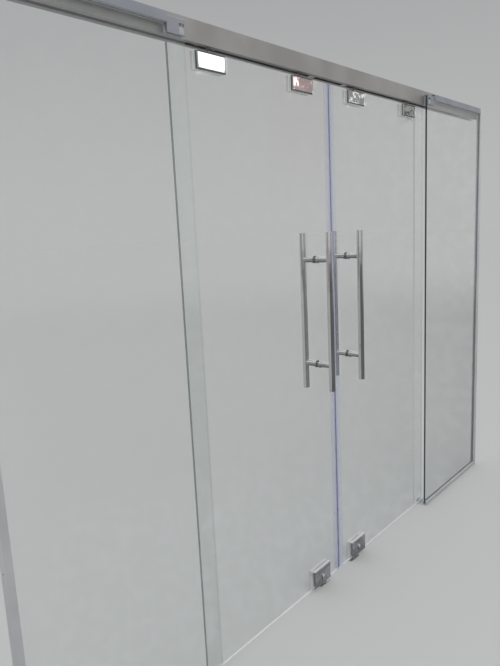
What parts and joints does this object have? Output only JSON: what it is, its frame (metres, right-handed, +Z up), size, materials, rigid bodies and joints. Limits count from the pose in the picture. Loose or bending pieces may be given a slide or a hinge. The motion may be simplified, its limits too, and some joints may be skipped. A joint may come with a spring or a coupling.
{
  "type": "sliding glass entrance door",
  "caption": "Frameless glass shop entrance: a pair of top-hung sliding glass leaves between fixed glass panes, with pull bars, clamp hangers and floor locks.",
  "frame": {"origin": "on the floor, at the line where the two leaves meet, in the plane of the leaves' glass", "axes": "+X along the glass to the right as seen from the street, +Y into the shop, +Z up"},
  "size_m": [2.84, 0.145, 2.024],
  "materials": {
    "aluminium_track": "satin anodised",
    "channel_aluminium": "satin anodised",
    "clear_glass": "clear, faint green edge",
    "polished_steel": "mirror polished stainless",
    "zinc": "bright zinc plate",
    "wheel_nylon": "moulded nylon",
    "satin_steel": "satin ground stainless",
    "black_rubber": "matt",
    "grey_gasket": "matt",
    "clear_seal": "clear flexible plastic with a violet cast",
    "grey_packer": "moulded",
    "plated_brass": "nickel plated, worn to the brass by keys"
  },
  "bodies": {
    "frame": {"head_track": "aluminium_track", "frame_screws": "zinc", "track_stops": "zinc", "stop_buffers": "black_rubber", "glazing_gaskets": "grey_gasket", "glass_packers": "grey_packer", "floor_guides": "channel_aluminium", "strike_plates": "polished_steel", "left_fixed_glass": "clear_glass", "left_sill_channel": "channel_aluminium", "left_head_channel": "channel_aluminium", "left_jamb_channel": "channel_aluminium", "left_corner_clip": "channel_aluminium", "right_fixed_glass": "clear_glass", "right_sill_channel": "channel_aluminium", "right_head_channel": "channel_aluminium", "right_jamb_channel": "channel_aluminium", "right_corner_clip": "channel_aluminium"},
    "left_leaf": {"left_leaf_glass": "clear_glass", "left_edge_seal": "clear_seal", "left_hanger_fronts": "polished_steel", "left_hanger_backs": "satin_steel", "left_hanger_bolts": "zinc", "left_clamp_screws": "zinc", "left_leaf_gaskets": "grey_gasket", "left_carriages": "zinc", "left_axles": "zinc", "left_outer_handle_bar": "polished_steel", "left_inner_handle_bar": "polished_steel", "left_handle_posts": "polished_steel", "left_lock_front": "polished_steel", "left_lock_case": "satin_steel", "left_lock_cylinder": "polished_steel"},
    "left_plug": {"left_lock_plug": "plated_brass"},
    "left_bolt": {"left_lock_bolt": "polished_steel"},
    "left_wheels_1": {"left_wheels_1": "wheel_nylon"},
    "left_wheels_2": {"left_wheels_2": "wheel_nylon"},
    "left_wheels_3": {"left_wheels_3": "wheel_nylon"},
    "left_wheels_4": {"left_wheels_4": "wheel_nylon"},
    "right_leaf": {"right_leaf_glass": "clear_glass", "right_edge_seal": "clear_seal", "right_hanger_fronts": "polished_steel", "right_hanger_backs": "satin_steel", "right_hanger_bolts": "zinc", "right_clamp_screws": "zinc", "right_leaf_gaskets": "grey_gasket", "right_carriages": "zinc", "right_axles": "zinc", "right_outer_handle_bar": "polished_steel", "right_inner_handle_bar": "polished_steel", "right_handle_posts": "polished_steel", "right_lock_front": "polished_steel", "right_lock_case": "satin_steel", "right_lock_cylinder": "polished_steel"},
    "right_plug": {"right_lock_plug": "plated_brass"},
    "right_bolt": {"right_lock_bolt": "polished_steel"},
    "right_wheels_1": {"right_wheels_1": "wheel_nylon"},
    "right_wheels_2": {"right_wheels_2": "wheel_nylon"},
    "right_wheels_3": {"right_wheels_3": "wheel_nylon"},
    "right_wheels_4": {"right_wheels_4": "wheel_nylon"}
  },
  "joints": [
    {"name": "left_leaf_slide", "type": "slide", "parent": "frame", "child": "left_leaf", "axis": [-1, 0, 0], "range_m": [0, 0.54]},
    {"name": "left_plug_turn", "type": "hinge", "parent": "left_leaf", "child": "left_plug", "pos_m": [-0.14, 0, 0.051], "axis": [0, 1, 0], "range_deg": [0, 180]},
    {"name": "left_bolt_slide", "type": "slide", "parent": "left_leaf", "child": "left_bolt", "axis": [0, 0, -1], "range_m": [0, 0.027]},
    {"name": "left_wheel_roll_1", "type": "hinge", "parent": "left_leaf", "child": "left_wheels_1", "pos_m": [-0.144, 0, 1.9826], "axis": [0, 1, 0], "continuous": true},
    {"name": "left_wheel_roll_2", "type": "hinge", "parent": "left_leaf", "child": "left_wheels_2", "pos_m": [-0.212, 0, 1.9826], "axis": [0, 1, 0], "continuous": true},
    {"name": "left_wheel_roll_3", "type": "hinge", "parent": "left_leaf", "child": "left_wheels_3", "pos_m": [-0.594, 0, 1.9826], "axis": [0, 1, 0], "continuous": true},
    {"name": "left_wheel_roll_4", "type": "hinge", "parent": "left_leaf", "child": "left_wheels_4", "pos_m": [-0.662, 0, 1.9826], "axis": [0, 1, 0], "continuous": true},
    {"name": "right_leaf_slide", "type": "slide", "parent": "frame", "child": "right_leaf", "axis": [1, 0, 0], "range_m": [0, 0.54]},
    {"name": "right_plug_turn", "type": "hinge", "parent": "right_leaf", "child": "right_plug", "pos_m": [0.14, 0, 0.051], "axis": [0, 1, 0], "range_deg": [0, 180]},
    {"name": "right_bolt_slide", "type": "slide", "parent": "right_leaf", "child": "right_bolt", "axis": [0, 0, -1], "range_m": [0, 0.027]},
    {"name": "right_wheel_roll_1", "type": "hinge", "parent": "right_leaf", "child": "right_wheels_1", "pos_m": [0.144, 0, 1.9826], "axis": [0, 1, 0], "continuous": true},
    {"name": "right_wheel_roll_2", "type": "hinge", "parent": "right_leaf", "child": "right_wheels_2", "pos_m": [0.212, 0, 1.9826], "axis": [0, 1, 0], "continuous": true},
    {"name": "right_wheel_roll_3", "type": "hinge", "parent": "right_leaf", "child": "right_wheels_3", "pos_m": [0.594, 0, 1.9826], "axis": [0, 1, 0], "continuous": true},
    {"name": "right_wheel_roll_4", "type": "hinge", "parent": "right_leaf", "child": "right_wheels_4", "pos_m": [0.662, 0, 1.9826], "axis": [0, 1, 0], "continuous": true}
  ],
  "couplings": [
    {"joint": "left_plug_turn", "follows": "left_bolt_slide", "rad_per_m": 116.36},
    {"joint": "left_wheel_roll_1", "follows": "left_leaf_slide", "rad_per_m": -88.496},
    {"joint": "left_wheel_roll_2", "follows": "left_leaf_slide", "rad_per_m": -88.496},
    {"joint": "left_wheel_roll_3", "follows": "left_leaf_slide", "rad_per_m": -88.496},
    {"joint": "left_wheel_roll_4", "follows": "left_leaf_slide", "rad_per_m": -88.496},
    {"joint": "right_plug_turn", "follows": "right_bolt_slide", "rad_per_m": 116.36},
    {"joint": "right_wheel_roll_1", "follows": "right_leaf_slide", "rad_per_m": 88.496},
    {"joint": "right_wheel_roll_2", "follows": "right_leaf_slide", "rad_per_m": 88.496},
    {"joint": "right_wheel_roll_3", "follows": "right_leaf_slide", "rad_per_m": 88.496},
    {"joint": "right_wheel_roll_4", "follows": "right_leaf_slide", "rad_per_m": 88.496}
  ]
}
